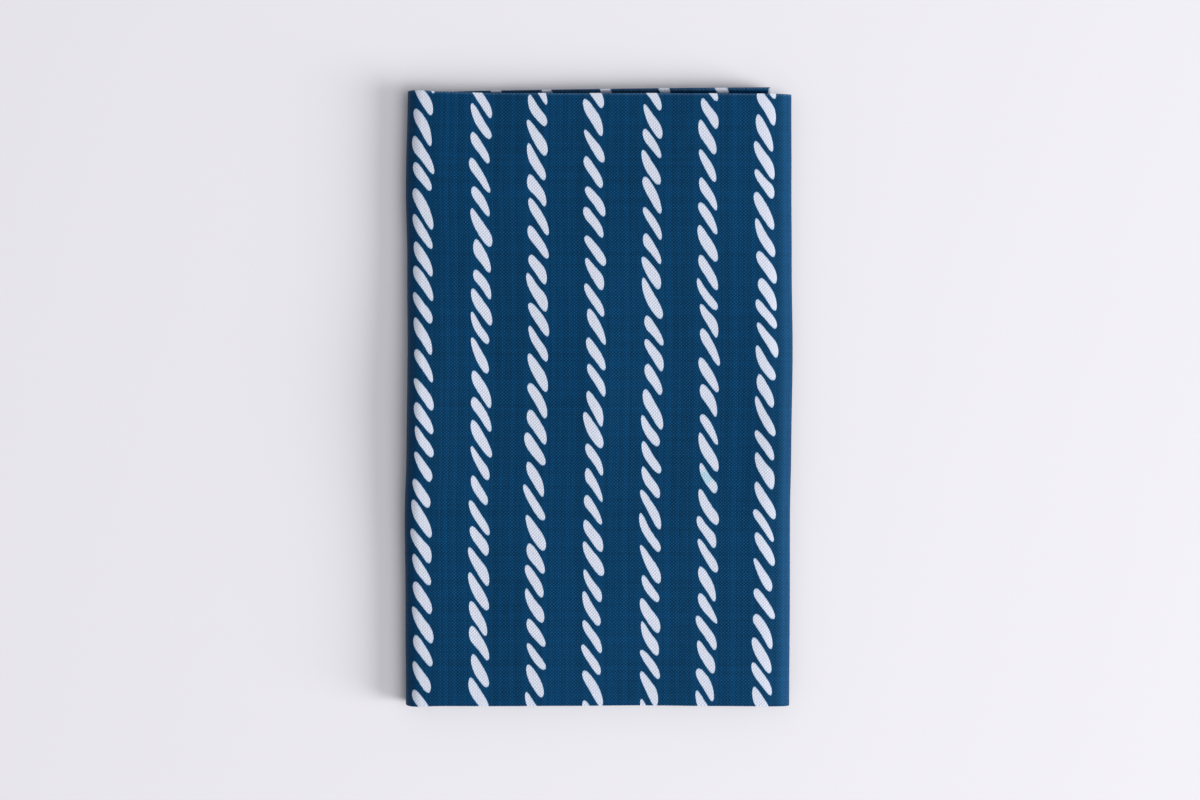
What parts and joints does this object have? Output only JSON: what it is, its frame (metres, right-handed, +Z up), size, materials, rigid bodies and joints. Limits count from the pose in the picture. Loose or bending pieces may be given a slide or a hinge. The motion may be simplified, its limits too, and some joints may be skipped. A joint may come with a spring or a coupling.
{
  "type": "folded tenugui towel",
  "caption": "Cotton tenugui hand towel doubled lengthwise and folded into a flat oblong pack, indigo with white rope stripes, raw cut ends and woven selvedges",
  "frame": {"origin": "on the surface that the pack lies on, under the middle of its box", "axes": "+X towards the rounded right fold, across the short side; +Y towards the selvedges, along the long side; +Z up, through the layers"},
  "size_m": [0.1134, 0.1808, 0.0071],
  "materials": {
    "dyed_cotton": "plain-weave cotton, dyed indigo through with white rope stripes, matt"
  },
  "bodies": {
    "root": {"tenugui_cloth": "dyed_cotton"}
  },
  "joints": []
}
